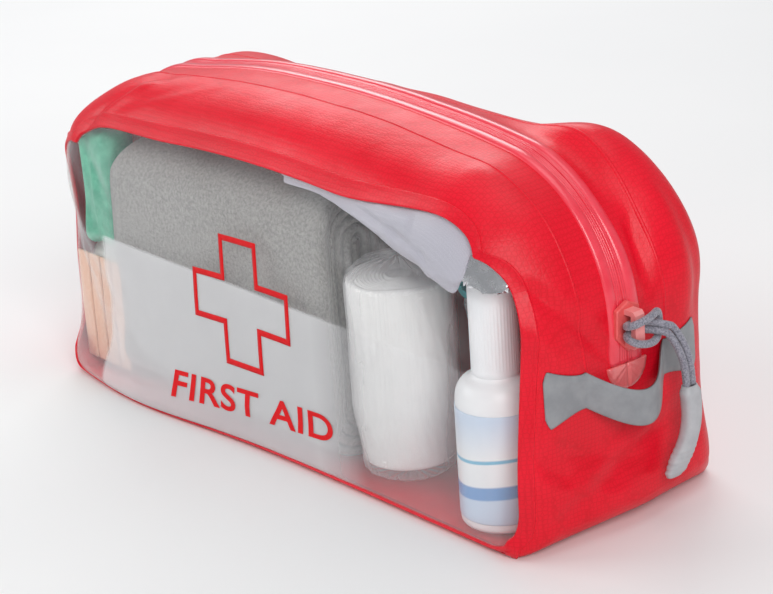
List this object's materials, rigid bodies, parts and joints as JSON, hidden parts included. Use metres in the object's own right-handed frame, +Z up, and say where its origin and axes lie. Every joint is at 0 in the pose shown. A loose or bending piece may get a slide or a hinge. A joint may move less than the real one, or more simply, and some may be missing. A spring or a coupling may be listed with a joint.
{
  "type": "first aid kit",
  "caption": "Soft zipped waterproof pouch for first aid supplies, with a clear front window, arched top zip, cord pull and end grab straps, packed with its contents.",
  "frame": {"origin": "middle of the flat bottom, on the surface it stands on", "axes": "+X towards the end with the zip slider, -Y out of the clear window, +Z up"},
  "size_m": [0.3199, 0.103, 0.14],
  "materials": {
    "red_fabric": "coated ripstop nylon, satin",
    "window_film": "clear glossy film",
    "zip_tape": "laminated zip tape, glossy",
    "zip_coil": "moulded zip teeth under a clear coating",
    "slider_plastic": "moulded, satin",
    "cord_braid": "braided cord with light ticks",
    "grip_rubber": "moulded soft grip",
    "strap_film": "welded grey film strap, matte",
    "blanket_fabric": "folded non-woven cloth",
    "pouch_nylon": "thin crinkled nylon",
    "foil": "metallised film, crinkled",
    "bandage_cotton": "elastic crepe bandage",
    "cellophane": "thin clear wrapper",
    "bottle_white": "moulded white bottle",
    "label_paper": "coated label with blue bands",
    "cap_white": "moulded cap",
    "pump_white": "moulded pump",
    "tube_clear": "thin suction tube",
    "scissor_steel": "brushed",
    "scissor_handle": "teal moulded rings",
    "glove_green": "green sachet",
    "dressing_paper": "pale green sachet",
    "plaster_peach": "adhesive plaster strips"
  },
  "bodies": {
    "root": {"base_panel": "red_fabric", "rear_panel": "red_fabric", "front_lower_panel": "red_fabric", "window_lower": "window_film", "zip_tape_rear": "zip_tape", "zip_coil_rear": "zip_coil", "zip_garage_right": "zip_tape", "zip_garage_left": "zip_tape", "strap_right_anchors": "strap_film", "strap_left_anchors": "strap_film", "folded_blanket": "blanket_fabric", "nylon_pouch": "pouch_nylon", "foil_blanket": "foil", "bandage_roll": "bandage_cotton", "bandage_wrapper": "cellophane", "spray_bottle": "bottle_white", "bottle_label": "label_paper", "spray_pump": "pump_white", "dip_tube": "tube_clear", "spray_cap": "cap_white", "scissor_blade_left": "scissor_steel", "scissor_blade_right": "scissor_steel", "scissor_ring_left": "scissor_handle", "scissor_ring_right": "scissor_handle", "scissor_rivet": "scissor_steel", "glove_pack": "glove_green", "dressing_pack": "dressing_paper", "plaster_strips": "plaster_peach"},
    "front_lip": {"front_upper_panel": "red_fabric", "window_upper": "window_film", "zip_tape_front": "zip_tape", "zip_coil_front": "zip_coil"},
    "slider": {"slider_body": "slider_plastic", "slider_bail": "slider_plastic", "pull_knot": "cord_braid"},
    "pull": {"pull_strands": "cord_braid", "pull_grip": "grip_rubber"},
    "strap_right": {"strap_right_bridge": "strap_film"},
    "strap_left": {"strap_left_bridge": "strap_film"}
  },
  "joints": [
    {"name": "lip_fold", "type": "hinge", "parent": "root", "child": "front_lip", "pos_m": [0, -0.0515, 0.062], "axis": [1, 0, 0], "range_deg": [0, 28]},
    {"name": "slider_run", "type": "hinge", "parent": "root", "child": "slider", "pos_m": [0.091, 0, 0.07735], "axis": [0, -1, 0], "range_deg": [0, 80]},
    {"name": "pull_flip", "type": "hinge", "parent": "slider", "child": "pull", "pos_m": [0.1563, 0, 0.0733], "axis": [0, -1, 0], "range_deg": [0, 90]},
    {"name": "strap_right_flex", "type": "hinge", "parent": "root", "child": "strap_right", "pos_m": [0.1466, 0, 0.058], "axis": [0, -1, 0], "range_deg": [-20, 15], "stiffness_Nm_per_rad": 0.02},
    {"name": "strap_left_flex", "type": "hinge", "parent": "root", "child": "strap_left", "pos_m": [-0.1466, 0, 0.058], "axis": [0, 1, 0], "range_deg": [-20, 15], "stiffness_Nm_per_rad": 0.02}
  ]
}
